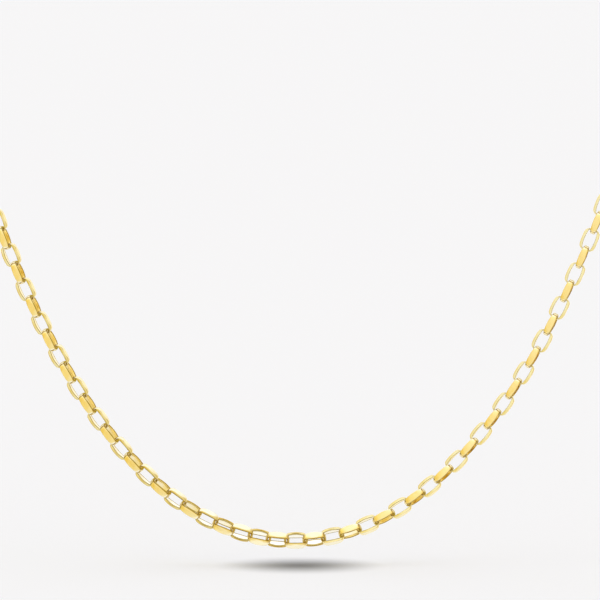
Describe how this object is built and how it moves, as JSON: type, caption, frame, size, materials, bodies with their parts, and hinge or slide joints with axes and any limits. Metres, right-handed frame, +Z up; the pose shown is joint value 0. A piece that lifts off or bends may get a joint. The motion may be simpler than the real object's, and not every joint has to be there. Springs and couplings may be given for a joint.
{
  "type": "rolo chain necklace",
  "caption": "Gold neck chain of oval belcher links with flat-cut sides, a full loop with a front drape, closed at the nape by a plain ring clasp.",
  "frame": {"origin": "middle of the nape on the loop's centre line, where the loop sits on the back of the neck", "axes": "+Z up, -Y out of the front where the drape hangs, +X to the right as the drape is seen from the front"},
  "size_m": [0.1296, 0.0767, 0.1246],
  "materials": {
    "front_links": "polished yellow gold",
    "back_links": "polished yellow gold",
    "clasp": "polished yellow gold"
  },
  "bodies": {
    "root": {"front_chain": "front_links", "back_chain": "back_links", "clasp": "clasp"}
  },
  "joints": []
}
